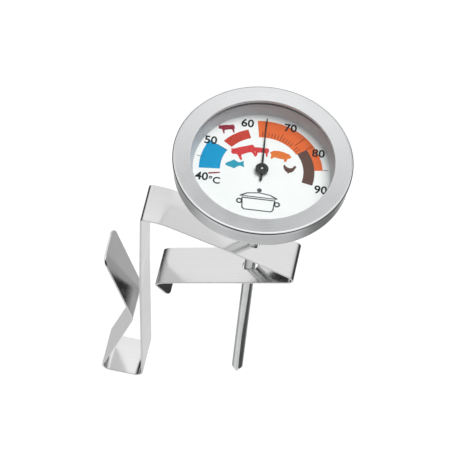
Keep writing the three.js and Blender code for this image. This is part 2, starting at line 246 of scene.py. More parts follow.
def centrelessGroundSteel():
    # Stainless tube, ground and polished as it spins: bright, with very fine rings along its length.
    mat, tree, shader = newMaterial("stainless tube, ground and polished")
    centred, radius, height = ringCoordinates(tree)
    rings = addNode(tree, "ShaderNodeTexNoise", {"W": height},
                    {"Scale": 3000, "Detail": 2, "Roughness": 0.6}, noise_dimensions="1D")
    cloud = addNode(tree, "ShaderNodeTexNoise", {"Vector": centred}, {"Scale": 220, "Detail": 2})
    shade = addNode(tree, "ShaderNodeValToRGB", {"Fac": cloud.outputs["Fac"]})
    setStops(shade, [(0.3, srgb("#d2d3d4")), (0.7, srgb("#dcdddd"))])
    rough = addNode(tree, "ShaderNodeMapRange", {"Value": rings.outputs["Fac"]},
                    {"From Min": 0.3, "From Max": 0.7, "To Min": 0.10, "To Max": 0.16})
    bump = addNode(tree, "ShaderNodeBump", {"Height": rings.outputs["Fac"]},
                   {"Strength": 0.04, "Distance": 0.00002})
    tree.links.new(shade.outputs[0], shader.inputs["Base Color"])
    tree.links.new(rough.outputs[0], shader.inputs["Roughness"])
    tree.links.new(bump.outputs[0], shader.inputs["Normal"])
    shader.inputs["Metallic"].default_value = 1
    return mat


def spacerAluminium():
    # Pressed aluminium ring, left matte so that it doesn't mirror the dial: mid grey with a fine grain; it shows
    # darker under the bezel only from the shade there.
    mat, tree, shader = newMaterial("aluminium, matte pressed")
    centred, radius, height = ringCoordinates(tree)
    grain = addNode(tree, "ShaderNodeTexNoise", {"Vector": centred},
                    {"Scale": 1800, "Detail": 3, "Roughness": 0.6})
    shade = addNode(tree, "ShaderNodeValToRGB", {"Fac": grain.outputs["Fac"]})
    setStops(shade, [(0.3, srgb("#c3c6c9")), (0.7, srgb("#cdd0d3"))])
    bump = addNode(tree, "ShaderNodeBump", {"Height": grain.outputs["Fac"]},
                   {"Strength": 0.1, "Distance": 0.00003})
    tree.links.new(shade.outputs[0], shader.inputs["Base Color"])
    tree.links.new(bump.outputs[0], shader.inputs["Normal"])
    shader.inputs["Metallic"].default_value = 0.15
    shader.inputs["Roughness"].default_value = 0.55
    return mat


def dialGlass():
    # Float glass disc with a coating against glare: it lets the dial through and keeps only a trace of
    # reflection, stronger when it is seen from the side. A little dust spreads that reflection.
    mat, tree, shader = newMaterial("float glass, coated")
    place = addNode(tree, "ShaderNodeTexCoord")
    dust = addNode(tree, "ShaderNodeTexNoise", {"Vector": place.outputs["Object"]},
                   {"Scale": 900, "Detail": 4, "Roughness": 0.7})
    rough = addNode(tree, "ShaderNodeMapRange", {"Value": dust.outputs["Fac"]},
                    {"From Min": 0.3, "From Max": 0.8, "To Min": 0.02, "To Max": 0.08})
    gloss = addNode(tree, "ShaderNodeFresnel", None, {"IOR": 1.16})
    clear = addNode(tree, "ShaderNodeBsdfTransparent", None, {"Color": srgb("#fdfefe")})
    mirror = addNode(tree, "ShaderNodeBsdfGlossy", {"Roughness": rough.outputs[0]})
    both = addNode(tree, "ShaderNodeMixShader", {0: gloss.outputs[0], 1: clear.outputs[0], 2: mirror.outputs[0]})
    tree.links.new(both.outputs[0], tree.nodes["Material Output"].inputs["Surface"])
    tree.nodes.remove(shader)
    mat.surface_render_method = "BLENDED"
    return mat


def dialEnamel():
    # White stoving enamel on the dial plate: smooth, with a slight orange peel about 0.6 mm across.
    mat, tree, shader = newMaterial("stoving enamel, white")
    place = addNode(tree, "ShaderNodeTexCoord")
    peel = addNode(tree, "ShaderNodeTexNoise", {"Vector": place.outputs["Object"]},
                   {"Scale": 1500, "Detail": 2, "Roughness": 0.5})
    tint = addNode(tree, "ShaderNodeTexNoise", {"Vector": place.outputs["Object"]},
                   {"Scale": 90, "Detail": 2})
    shade = addNode(tree, "ShaderNodeValToRGB", {"Fac": tint.outputs["Fac"]})
    setStops(shade, [(0.3, srgb("#f8f8f6")), (0.7, srgb("#fcfbf9"))])
    bump = addNode(tree, "ShaderNodeBump", {"Height": peel.outputs["Fac"]},
                   {"Strength": 0.05, "Distance": 0.00002})
    tree.links.new(shade.outputs[0], shader.inputs["Base Color"])
    tree.links.new(bump.outputs[0], shader.inputs["Normal"])
    shader.inputs["Roughness"].default_value = 0.42
    return mat


def printingInk(name, dark, light):
    # Screen-printed ink: flat and slightly uneven where the mesh left it thicker, in spots of 0.4 mm.
    mat, tree, shader = newMaterial("screen ink, " + name)
    place = addNode(tree, "ShaderNodeTexCoord")
    spots = addNode(tree, "ShaderNodeTexNoise", {"Vector": place.outputs["Object"]},
                    {"Scale": 2500, "Detail": 3, "Roughness": 0.6})
    shade = addNode(tree, "ShaderNodeValToRGB", {"Fac": spots.outputs["Fac"]})
    setStops(shade, [(0.32, srgb(dark)), (0.68, srgb(light))])
    bump = addNode(tree, "ShaderNodeBump", {"Height": spots.outputs["Fac"]},
                   {"Strength": 0.05, "Distance": 0.00001})
    tree.links.new(shade.outputs[0], shader.inputs["Base Color"])
    tree.links.new(bump.outputs[0], shader.inputs["Normal"])
    shader.inputs["Roughness"].default_value = 0.55
    shader.inputs["Specular IOR Level"].default_value = 0.15
    return mat


def blackLacquer():
    # Sprayed black lacquer on the pointer: satin, with a fine orange peel.
    mat, tree, shader = newMaterial("lacquer, black sprayed")
    place = addNode(tree, "ShaderNodeTexCoord")
    peel = addNode(tree, "ShaderNodeTexNoise", {"Vector": place.outputs["Object"]},
                   {"Scale": 3500, "Detail": 2})
    shade = addNode(tree, "ShaderNodeValToRGB", {"Fac": peel.outputs["Fac"]})
    setStops(shade, [(0.3, srgb("#141616")), (0.7, srgb("#1d1f1f"))])
    bump = addNode(tree, "ShaderNodeBump", {"Height": peel.outputs["Fac"]},
                   {"Strength": 0.08, "Distance": 0.00001})
    tree.links.new(shade.outputs[0], shader.inputs["Base Color"])
    tree.links.new(bump.outputs[0], shader.inputs["Normal"])
    shader.inputs["Roughness"].default_value = 0.32
    return mat


def siliconeRubber():
    # Moulded silicone: dull dark grey with a fine mould texture.
    mat, tree, shader = newMaterial("silicone rubber, moulded")
    place = addNode(tree, "ShaderNodeTexCoord")
    grain = addNode(tree, "ShaderNodeTexNoise", {"Vector": place.outputs["Object"]},
                    {"Scale": 2500, "Detail": 3})
    shade = addNode(tree, "ShaderNodeValToRGB", {"Fac": grain.outputs["Fac"]})
    setStops(shade, [(0.3, srgb("#54575a")), (0.7, srgb("#606366"))])
    tree.links.new(shade.outputs[0], shader.inputs["Base Color"])
    shader.inputs["Roughness"].default_value = 0.7
    return mat


def turnedBrass():
    # Brass bar turned on a lathe: warm yellow with rings along its length, drawn 0.2 mm apart.
    mat, tree, shader = newMaterial("brass, turned")
    centred, radius, height = ringCoordinates(tree)
    rings = addNode(tree, "ShaderNodeTexNoise", {"W": height},
                    {"Scale": 5000, "Detail": 2}, noise_dimensions="1D")
    shade = addNode(tree, "ShaderNodeValToRGB", {"Fac": rings.outputs["Fac"]})
    setStops(shade, [(0.3, srgb("#b59549")), (0.7, srgb("#c9aa60"))])
    tree.links.new(shade.outputs[0], shader.inputs["Base Color"])
    shader.inputs["Metallic"].default_value = 1
    shader.inputs["Roughness"].default_value = 0.3
    return mat


def bimetalStrip():
    # Rolled bimetal: dull grey-brown nickel steel with lines along the strip.
    mat, tree, shader = newMaterial("bimetal strip, rolled")
    place = addNode(tree, "ShaderNodeTexCoord")
    grain = addNode(tree, "ShaderNodeTexNoise", {"Vector": place.outputs["Object"]},
                    {"Scale": 3000, "Detail": 3})
    shade = addNode(tree, "ShaderNodeValToRGB", {"Fac": grain.outputs["Fac"]})
    setStops(shade, [(0.3, srgb("#8e877c")), (0.7, srgb("#a39c90"))])
    tree.links.new(shade.outputs[0], shader.inputs["Base Color"])
    shader.inputs["Metallic"].default_value = 1
    shader.inputs["Roughness"].default_value = 0.4
    return mat


turnedSteel = satinTurnedSteel()
springSteel = rolledSpringSteel()
groundSteel = centrelessGroundSteel()
matteAluminium = spacerAluminium()
glass = dialGlass()
enamel = dialEnamel()
lacquer = blackLacquer()
silicone = siliconeRubber()
brass = turnedBrass()
bimetal = bimetalStrip()
inks = {
    "blue": printingInk("blue", "#008fc4", "#0a9fd0"),
    "red": printingInk("red", "#c23a2c", "#cf4a3a"),
    "orange": printingInk("orange", "#e2622c", "#ec7440"),
    "brown": printingInk("brown", "#5a413a", "#6a5048"),
    "crimson": printingInk("crimson", "#8e2c39", "#9c3944"),
    "scarlet": printingInk("scarlet", "#cf3338", "#de4a4a"),
    "amber": printingInk("amber", "#e0702c", "#ea8240"),
    "teal": printingInk("teal", "#1f93ae", "#35a6bd"),
    "black": printingInk("black", "#1c1e20", "#2a2c2e"),
    "grey": printingInk("grey", "#4a4d50", "#585b5e"),
}
print("materials ready")

for nodeName, material in (("lens_seal", silicone), ("upper_bush", brass), ("lower_bush", brass),
                           ("coil_anchor", brass), ("coil_clamp", brass), ("bimetal_coil", bimetal)):
    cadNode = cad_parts[nodeName]
    cadNode.data.materials.clear()
    cadNode.data.materials.append(material)
print("hidden pieces painted")


# ---- head ----

bezelSize = {"outer": 26.0, "opening": 20.7, "sheet": 0.5, "skirt": 1.35, "roll": 0.65, "lip": 0.15,
             "lipDepth": 0.95, "rise": 0.25}
b = bezelSize
bezel = spinProfile(
    "bezelRing",
    [(b["opening"], -b["lipDepth"]),
     (b["opening"] + b["sheet"], -b["lipDepth"]),
     (b["opening"] + b["sheet"], -b["sheet"]),
     (b["outer"] - b["sheet"], b["rise"] - b["sheet"]),
     (b["outer"] - b["sheet"], -b["skirt"])]
    + arcPoints(b["outer"] - 0.2, -b["skirt"] + 0.2, 0.2, -90, 0, 4)
    + arcPoints(b["outer"] - b["roll"], b["rise"] - b["roll"], b["roll"], 0, 92, 12)
    + arcPoints(b["opening"] + b["lip"], -b["lip"], b["lip"], 92, 180, 4),
    160)
finishPiece(bezel, turnedSteel, "probe", ["bezel"])

caseSize = {"radius": 25.4, "wall": 0.5, "rim": -0.7, "back": -7.4, "fillet": 1.8, "hole": 2.7}
c = caseSize
case = spinProfile(
    "caseCup",
    [(c["hole"], c["back"])]
    + arcPoints(c["radius"] - c["fillet"], c["back"] + c["fillet"], c["fillet"], -90, 0, 12)
    + [(c["radius"], c["rim"]), (c["radius"] - c["wall"], c["rim"])]
    + arcPoints(c["radius"] - c["fillet"], c["back"] + c["fillet"], c["fillet"] - c["wall"], 0, -90, 12)
    + [(c["hole"], c["back"] + c["wall"])],
    160)
finishPiece(case, turnedSteel, "probe", ["case"])

lensSize = {"radius": 24.5, "top": -1.2, "bottom": -2.4}
lens = spinProfile("dialWindow", [(0, lensSize["bottom"]), (lensSize["radius"], lensSize["bottom"]),
                                  (lensSize["radius"], lensSize["top"]), (0, lensSize["top"])],
                   96, closed=False, edgeBevel=0.15)
finishPiece(lens, glass, "probe", ["lens"])

spacerSize = {"mouth": 21.2, "foot": 19.8, "sheet": 0.4, "outer": 24.5, "top": -2.5, "bottom": -5.6}
s = spacerSize
spacer = spinProfile(
    "spacerRing",
    [(s["foot"], s["bottom"]), (s["foot"] + s["sheet"], s["bottom"]),
     (s["mouth"] + s["sheet"], s["top"] - s["sheet"]), (s["outer"], s["top"] - s["sheet"]),
     (s["outer"], s["top"]), (s["mouth"], s["top"])],
    128, edgeBevel=0.08)
finishPiece(spacer, matteAluminium, "probe", ["spacer_ring"])

dialSize = {"radius": 23.4, "hole": 1.0, "top": (dialZ - bezelZ) / mm, "sheet": 0.5}
d = dialSize
dial = spinProfile("dialPlate", [(d["hole"], d["top"] - d["sheet"]), (d["radius"], d["top"] - d["sheet"]),
                                 (d["radius"], d["top"]), (d["hole"], d["top"])], 128, edgeBevel=0.06)
finishPiece(dial, enamel, "probe", ["dial_plate"])
print("head built")


# ---- what is printed on the dial ----
# Places are in mm from the pointer's axis, with y towards the scale's top and x to its right.

inkSize = {"thick": 0.02, "step": 0.012, "degreesPerDegree": 4.09, "atTop": 65}
onDial = (Matrix.Translation((probeX, 0, dialZ)) @ Matrix.Rotation(math.radians(dialTurn), 4, "Z")
          @ Matrix.Diagonal((mm, mm, mm, 1)))


def scaleAngle(temperature):
    return (temperature - inkSize["atTop"]) * inkSize["degreesPerDegree"]


def addBand(bm, fromT, toT, inner, outer, layer=1):
    # a sector of a ring: one radial edge, spun and thickened
    start = math.radians(90 - scaleAngle(fromT))
    low = layer * inkSize["step"]
    ends = [bm.verts.new((r * math.cos(start), r * math.sin(start), low)) for r in (inner, outer)]
    edge = bm.edges.new(ends)
    sweep = math.radians(scaleAngle(toT) - scaleAngle(fromT))
    made = bmesh.ops.spin(bm, geom=ends + [edge], cent=(0, 0, 0), axis=(0, 0, -1), angle=sweep,
                          steps=max(1, round(math.degrees(abs(sweep)) / 1.5)), use_duplicate=False)
    faces = {f for v in ends for f in v.link_faces}
    grown = set(faces)
    while grown:
        grown = {f for g in grown for e in g.edges for f in e.link_faces} - faces
        faces |= grown
    top = bmesh.ops.extrude_face_region(bm, geom=list(faces))
    lifted = [g for g in top["geom"] if isinstance(g, bmesh.types.BMVert)]
    bmesh.ops.translate(bm, verts=lifted, vec=(0, 0, inkSize["thick"]))


def addTick(bm, temperature, inner, outer, width=0.16, layer=3):
    made = bmesh.ops.create_cube(bm, size=1)
    turn = math.radians(-scaleAngle(temperature))
    place = (Matrix.Rotation(turn, 4, "Z") @ Matrix.Translation((0, (inner + outer) / 2, layer * inkSize["step"]))
             @ Matrix.Diagonal((width, outer - inner, inkSize["thick"], 1)))
    bmesh.ops.transform(bm, matrix=place, verts=made["verts"])


def addOutlines(bm, outlines, place, layer=2, smooth=True):
    # flat filled curve: each outline is a closed loop, and a loop inside another makes a hole
    curve = bpy.data.curves.new("outline", "CURVE")
    curve.dimensions = "2D"
    curve.fill_mode = "BOTH"
    curve.extrude = inkSize["thick"] / 2
    curve.resolution_u = 4
    for loop in outlines:
        spline = curve.splines.new("NURBS" if smooth else "POLY")
        spline.points.add(len(loop) - 1)
        for point, (x, y) in zip(spline.points, loop):
            point.co = (x, y, 0, 1)
        spline.use_cyclic_u = True
        if smooth:
            spline.order_u = 3
    addFlat(bm, curve, place, layer)


def addFlat(bm, curve, place, layer):
    obj = bpy.data.objects.new("flat", curve)
    bpy.context.scene.collection.objects.link(obj)
    bpy.context.view_layer.update()
    mesh = bpy.data.meshes.new_from_object(obj.evaluated_get(bpy.context.evaluated_depsgraph_get()))
    mesh.transform(Matrix.Translation((0, 0, layer * inkSize["step"])) @ place)
    bm.from_mesh(mesh)
    bpy.data.objects.remove(obj)
    bpy.data.meshes.remove(mesh)


def addText(bm, words, centre, height, layer=3):
    text = bpy.data.curves.new("figures", "FONT")
    text.body = words
    text.size = height / 0.73  # the built-in font's figures are 0.73 of its size tall
    text.align_x = "CENTER"
    text.align_y = "CENTER"
    text.extrude = inkSize["thick"] / 2
    text.offset = height * 0.03  # a little bolder
    text.resolution_u = 4
    addFlat(bm, text, Matrix.Translation((centre[0], centre[1], 0)), layer)


def finishInk(bm, name, ink):
    bmesh.ops.remove_doubles(bm, verts=bm.verts, dist=1e-4)
    bmesh.ops.recalc_face_normals(bm, faces=bm.faces)
    bmesh.ops.transform(bm, matrix=onDial, verts=bm.verts)
    return finishPiece(objectFromBmesh(bm, name), inks[ink], "probe", ())


def placed(centre, width, turn=0.0, flip=False):
    # puts an outline drawn 10 wide round the origin at its place on the dial
    k = width / 10
    return (Matrix.Translation((centre[0], centre[1], 0)) @ Matrix.Rotation(math.radians(turn), 4, "Z")
            @ Matrix.Diagonal((-k if flip else k, k, 1, 1)))


# coloured arcs: (ink, from, to, inner radius, outer radius)
arcs = [("blue", 41.8, 50, 12.0, 18.1), ("red", 52, 60, 11.7, 14.8), ("orange", 62.8, 78, 11.7, 17.6),
        ("orange", 77.8, 85.1, 15.2, 17.6), ("brown", 78, 90, 12.0, 15.2), ("crimson", 39.95, 40.45, 12.1, 15.4)]
for ink in ("blue", "red", "orange", "brown", "crimson"):
    bm = bmesh.new()
    for name, fromT, toT, inner, outer in arcs:
        if name == ink:
            addBand(bm, fromT, toT, inner, outer)
    finishInk(bm, ink + "Arc", ink)

# black marks and figures
ticks = [(45, 17.4, 19.2), (50, 11.9, 15.4), (65, 12.0, 18.6), (70, 11.8, 14.5), (75, 13.3, 17.4), (85, 17.6, 19.1)]
fineTicks = [64, 66, 67, 68, 69, 71, 72, 73, 74, 76, 77]
figures = {"40": (-16.9, -4.5), "50": (-15.6, 8.5), "60": (-5.6, 16.0), "70": (6.9, 16.0), "80": (15.7, 8.2),
           "90": (17.4, -4.5)}
bm = bmesh.new()
for temperature, inner, outer in ticks:
    addTick(bm, temperature, inner, outer)
for temperature in fineTicks:
    addTick(bm, temperature, 12.0, 13.6, width=0.15)
for words, centre in figures.items():
    addText(bm, words, centre, 2.75)
addText(bm, "°C", (-13.2, -5.4), 2.3)
finishInk(bm, "scaleFigures", "black")

# animal outlines, each 10 wide and facing left
steer = [(-5, 0.9), (-4.7, 2.1), (-4.2, 2.6), (-4.5, 3.5), (-3.7, 2.9), (-3.0, 2.7), (-1.0, 2.9), (2.0, 2.6), (4.3, 2.7),
         (4.9, 2.2), (5.0, -0.6), (4.7, -0.9), (4.5, 0.4), (4.3, -0.6), (4.4, -3.4), (3.4, -3.4), (3.3, -1.2),
         (2.4, -0.6), (-0.6, -0.8), (-1.6, -1.0), (-1.7, -3.4), (-2.7, -3.4), (-2.7, -0.6), (-3.4, 0.2), (-4.4, 0.3)]
pig = [(-5, 0.2), (-4.9, 0.9), (-3.9, 1.4), (-3.6, 2.2), (-2.9, 1.9), (-1.0, 2.5), (2.2, 2.5), (4.3, 1.8), (4.8, 0.7),
       (5.3, 1.2), (5.2, 0.2), (4.6, -0.3), (4.3, -1.0), (4.4, -2.8), (3.3, -2.8), (3.1, -1.4), (1.4, -1.7), (-1.4, -1.7),
       (-1.9, -1.3), (-2.1, -2.8), (-3.2, -2.8), (-3.3, -1.0), (-4.2, -0.3)]
hen = [(-5, 2.3), (-4.2, 3.0), (-3.9, 4.0), (-3.0, 3.7), (-2.6, 2.4), (-1.4, 1.0), (1.0, 0.8), (2.9, 2.0), (4.6, 3.6),
       (5.0, 1.8), (4.2, -0.8), (2.2, -2.8), (0.8, -3.2), (0.9, -4.4), (0.2, -4.4), (0.1, -3.3), (-1.8, -2.7), (-3.4, -1.0),
       (-3.9, 1.4)]
fish = [(-5, 0.1), (-3.6, 1.3), (-1.6, 2.0), (-0.2, 3.0), (0.8, 1.9), (2.6, 0.8), (4.8, 2.4), (4.2, 0.2), (4.9, -2.2),
        (2.6, -0.6), (0.6, -1.7), (-0.6, -2.6), (-1.4, -1.8), (-3.6, -1.1)]
animals = [("crimson", steer, (-11.4, 13.3), 4.8, 14, False), ("scarlet", steer, (-5.7, 5.7), 7.2, 24, False),
           ("scarlet", steer, (-1.0, 6.6), 5.0, 2, False), ("amber", pig, (5.0, 5.9), 6.2, -8, True),
           ("brown", hen, (7.9, 1.6), 3.9, -4, True), ("teal", fish, (-7.9, 1.1), 5.9, 8, False)]
for ink in ("crimson", "scarlet", "amber", "brown", "teal"):
    bm = bmesh.new()
    layer = 2
    for name, outline, centre, width, turn, flip in animals:
        if name == ink:
            addOutlines(bm, [outline], placed(centre, width, turn, flip), layer)
            layer += 1
    finishInk(bm, ink + "Animal", ink)

# a plain roasting pot in outline, under the pointer


def octagon(x, y, r):
    return [(x + r * math.cos(math.radians(45 * i)), y + r * math.sin(math.radians(45 * i))) for i in range(8)]


bm = bmesh.new()
addOutlines(bm, [[(-4.9, -9.9), (4.9, -9.9), (4.6, -13.6), (3.9, -14.2), (-3.9, -14.2), (-4.6, -13.6)],
                 [(-4.5, -10.25), (4.5, -10.25), (4.25, -13.4), (3.7, -13.85), (-3.7, -13.85), (-4.25, -13.4)]],
            Matrix.Identity(4), 2, smooth=False)
addOutlines(bm, [[(-5.5, -9.6), (5.5, -9.6), (5.2, -9.1), (3.4, -8.2), (0, -7.7), (-3.4, -8.2), (-5.2, -9.1)],
                 [(-4.6, -9.3), (4.6, -9.3), (3.2, -8.5), (0, -8.05), (-3.2, -8.5)]],
            Matrix.Identity(4), 2, smooth=False)
addOutlines(bm, [octagon(0, -7.0, 0.75)], Matrix.Identity(4), 2)
for side in (-1, 1):
    addOutlines(bm, [octagon(side * 5.4, -11.3, 1.0), octagon(side * 5.4, -11.3, 0.5)], Matrix.Identity(4), 2)
finishInk(bm, "potSign", "grey")
print("dial printed")


# ---- pointer ----

pointerSize = {"reach": 18.3, "tail": 3.9, "rootWidth": 0.62, "tipWidth": 0.24, "sheet": 0.2, "turn": 6.0,
               "low": -5.3, "hub": 1.9, "hubLow": -5.0, "hubTop": -4.45, "shaft": 0.4, "shaftTop": -4.3}
p = pointerSize
bm = bmesh.new()
outline = [(-p["tipWidth"] / 2, p["reach"] - 0.3), (-p["rootWidth"] / 2, 1.2), (-p["rootWidth"] / 2 - 0.1, -p["tail"] + 0.5),
           (-0.2, -p["tail"]), (0.2, -p["tail"]), (p["rootWidth"] / 2 + 0.1, -p["tail"] + 0.5), (p["rootWidth"] / 2, 1.2),
           (p["tipWidth"] / 2, p["reach"] - 0.3), (0, p["reach"])]
blade = bm.faces.new([bm.verts.new((x, y, 0)) for x, y in outline])
top = bmesh.ops.extrude_face_region(bm, geom=[blade])
lifted = [g for g in top["geom"] if isinstance(g, bmesh.types.BMVert)]
bmesh.ops.translate(bm, verts=lifted, vec=(0, 0, p["sheet"]))
bmesh.ops.recalc_face_normals(bm, faces=bm.faces)
bmesh.ops.transform(bm, verts=bm.verts, matrix=Matrix.Translation((probeX, 0, bezelZ + p["low"] * mm))
                    @ Matrix.Rotation(math.radians(p["turn"]), 4, "Z") @ Matrix.Diagonal((mm, mm, mm, 1)))
needle = objectFromBmesh(bm, "pointerNeedle")
addBevel(needle, 0.04 * mm, 2)
bakeModifiers(needle)
smoothFaces(needle)
finishPiece(needle, lacquer, "pointer", ["pointer"])

hubRound = 0.22
hub = spinProfile(
    "pointerHub",
    [(p["shaft"] + 0.1, p["hubLow"]), (p["hub"], p["hubLow"])]
    + arcPoints(p["hub"] - hubRound, p["hubTop"] - hubRound, hubRound, 0, 80, 5)
    + [(p["hub"] * 0.5, p["hubTop"]), (p["shaft"] + 0.1, p["hubTop"])],
    64)
finishPiece(hub, lacquer, "pointer", ["pointer_hub"])

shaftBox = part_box("pointer_shaft")
shaftFoot = (shaftBox[0].z - bezelZ) / mm
shaft = spinProfile("pointerShaft", [(0, shaftFoot), (p["shaft"], shaftFoot), (p["shaft"], p["shaftTop"] - 0.12),
                                     (p["shaft"] - 0.12, p["shaftTop"] - 0.02), (0, p["shaftTop"])], 32, closed=False)
finishPiece(shaft, groundSteel, "pointer", ["pointer_shaft"])
print("pointer built")


# ---- probe ----

probeSize = {"radius": 1.75, "bore": 1.45, "top": -6.4, "coneTop": -111.3, "tip": -115.3, "flat": 0.3}
q = probeSize
tube = spinProfile("probeTube", [(q["bore"], q["coneTop"] + 0.05), (q["radius"], q["coneTop"] + 0.05),
                                 (q["radius"], q["top"]), (q["bore"], q["top"])], 64)
finishPiece(tube, groundSteel, "probe", ["stem_tube"])

tip = spinProfile(
    "probeTip",
    [(0, q["tip"]), (q["flat"] * 0.7, q["tip"] + 0.04), (q["flat"], q["tip"] + 0.22), (q["radius"] - 0.16, q["coneTop"] - 0.55),
     (q["radius"] - 0.04, q["coneTop"] - 0.2), (q["radius"], q["coneTop"]), (q["bore"] - 0.1, q["coneTop"]),
     (q["bore"] - 0.1, q["coneTop"] + 2.8), (0, q["coneTop"] + 2.8)],
    64, closed=False, sharpAngle=40)
finishPiece(tip, groundSteel, "probe", ["stem_tip"])

collarSize = {"neck": 2.6, "flange": 3.8, "top": -7.5, "flangeHeight": 1.4, "height": 3.2, "staked": 3.5, "bore": 1.85}
k = collarSize
collar = spinProfile(
    "probeCollar",
    [(k["bore"], k["top"] - k["height"]), (k["neck"] - 0.3, k["top"] - k["height"]),
     (k["neck"], k["top"] - k["height"] + 0.3), (k["neck"], k["top"] - k["flangeHeight"] - 0.25),
     (k["neck"] + 0.25, k["top"] - k["flangeHeight"]), (k["flange"], k["top"] - k["flangeHeight"]),
     (k["flange"], k["top"]), (k["neck"], k["top"]), (k["neck"], -6.8), (k["staked"], -6.8),
     (k["staked"], -6.3), (k["bore"], -6.3)],
    64, edgeBevel=0.12)
finishPiece(collar, groundSteel, "probe", ["stem_collar"])
print("probe built")


# ---- clip: one strip, folded ----

stripSize = {"width": 13.0, "sheet": 0.6, "hole": 1.95, "lipCorner": 3.2, "tabCorner": 1.8, "edge": 0.07}
# middle line of the strip, in mm: (name, x, z, bend radius)
stripLine = [("tabEnd", 8.423, 16.645, 0), ("tab", 3.75, 21.32, 0.8), ("curl", 5.56, 22.84, 6),
             ("leverKink", 20.023, 28.134, 150), ("fold", 47.266, 37.781, 1.75), ("foldSeam", 42.5, 39.726, 0),
             ("topKink", 26.434, 46.282, 150), ("shoulder", 4.484, 53.797, 14), ("topCorner", -2.012, 54.001, 1.2),
             ("legKink", -0.730, 19.025, 500), ("foot", 2.044, -32.2, 2.4), ("footSeam", -7.2, -32.2, 0),
             ("jawCorner", -11.456, -32.2, 2.4), ("apex", -2.221, -0.206, 5), ("lipEnd", -12.302, 28.58, 0)]
w = stripSize["width"] * mm

bm = bmesh.new()
regionOf = {"lever": 1, "frame": 0, "jaw": 2}
last = bm.verts.new((stripLine[0][1] * mm, -w / 2, stripLine[0][2] * mm))
region, spans = "lever", []
for name, x, z, bend in stripLine[1:]:
    made = bmesh.ops.extrude_vert_indiv(bm, verts=[last])
    last = made["verts"][0]
    last.co = (x * mm, -w / 2, z * mm)
    spans.append((made["edges"][0], region))
    region = {"foldSeam": "frame", "footSeam": "jaw"}.get(name, region)
faceRegion = []
for edge, region in spans:
    middle = (edge.verts[0].co + edge.verts[1].co) / 2
    faceRegion.append((middle.copy(), regionOf[region]))
made = bmesh.ops.extrude_edge_only(bm, edges=bm.edges[:])
bmesh.ops.translate(bm, verts=[g for g in made["geom"] if isinstance(g, bmesh.types.BMVert)], vec=(0, w, 0))
bmesh.ops.recalc_face_normals(bm, faces=bm.faces)
for face in bm.faces:
    middle = face.calc_center_median()
    middle.y = -w / 2
    face.material_index = min(faceRegion, key=lambda fr: (fr[0] - middle).length)[1]

# round each bend with its own radius
for (n0, x0, z0, r0), (name, x, z, bend), (n2, x2, z2, r2) in zip(stripLine, stripLine[1:], stripLine[2:]):
    if not bend:
        continue
    before = Vector((x - x0, z - z0)).normalized()
    after = Vector((x2 - x, z2 - z)).normalized()
    turn = abs(before.angle_signed(after))
    crease = [e for e in bm.edges if all((Vector((v.co.x, v.co.z)) - Vector((x * mm, z * mm))).length < 1e-6
                                         for v in e.verts)]
    bmesh.ops.bevel(bm, geom=crease, offset=bend * mm * math.tan(turn / 2), offset_type="OFFSET",
                    segments=max(3, math.ceil(math.degrees(turn) / 6)), profile=0.5, affect="EDGES",
                    material=-1, clamp_overlap=False)

for name, radius in (("tabEnd", stripSize["tabCorner"]), ("lipEnd", stripSize["lipCorner"])):
    at = next(Vector((x * mm, z * mm)) for n, x, z, r in stripLine if n == name)
    corners = [v for v in bm.verts if (Vector((v.co.x, v.co.z)) - at).length < 1e-6]
    bmesh.ops.bevel(bm, geom=corners, offset=radius * mm, offset_type="OFFSET", segments=8, profile=0.5,
                    affect="VERTICES", material=-1, clamp_overlap=False)

strip = objectFromBmesh(bm, "wholeStrip")
for i in range(3):
    strip.data.materials.append(springSteel)
solid = strip.modifiers.new("sheet", "SOLIDIFY")
solid.thickness = stripSize["sheet"] * mm
solid.offset = 0
solid.use_even_offset = True
bakeModifiers(strip)


def slotCutter(name, at, slope, back, front):
    # a round-ended slot through the sheet, with its length along the sheet
    bm = bmesh.new()
    bmesh.ops.create_circle(bm, cap_ends=True, segments=40, radius=stripSize["hole"] * mm)
    reach = stripSize["hole"] * mm
    right = [v for v in bm.verts if v.co.x > 1e-9]
    left = [v for v in bm.verts if v.co.x < -1e-9]
    bmesh.ops.translate(bm, verts=right, vec=(front * mm - reach, 0, 0))
    bmesh.ops.translate(bm, verts=left, vec=(reach - back * mm, 0, 0))
    bmesh.ops.translate(bm, verts=bm.verts, vec=(0, 0, -2 * mm))
    made = bmesh.ops.extrude_face_region(bm, geom=bm.faces[:])
    bmesh.ops.translate(bm, verts=[g for g in made["geom"] if isinstance(g, bmesh.types.BMVert)], vec=(0, 0, 4 * mm))
    bmesh.ops.recalc_face_normals(bm, faces=bm.faces)
    place = Matrix.Translation((at[0] * mm, 0, at[1] * mm)) @ Matrix.Rotation(-math.radians(slope), 4, "Y")
    bmesh.ops.transform(bm, matrix=place, verts=bm.verts)
    return objectFromBmesh(bm, name)


slots = [("topSlot", "frame", (31.0, 44.419), -22.2, 2.21, 2.21),
         ("leverSlot", "lever", (31.0, 32.021), 19.5, 2.16, 2.62)]
for name, region, at, slope, back, front in slots:
    cutter = slotCutter(name, at, slope, back, front)
    for i in range(3):
        cutter.data.materials.append(springSteel)
    for face in cutter.data.polygons:
        face.material_index = regionOf[region]  # the slot's walls stay with the part they are cut in
    cut = strip.modifiers.new(name, "BOOLEAN")
    cut.operation = "DIFFERENCE"
    cut.solver = "EXACT"
    cut.object = cutter
    bakeModifiers(strip)
    bpy.data.objects.remove(cutter)
addBevel(strip, stripSize["edge"] * mm, 2, 50)
bakeModifiers(strip)

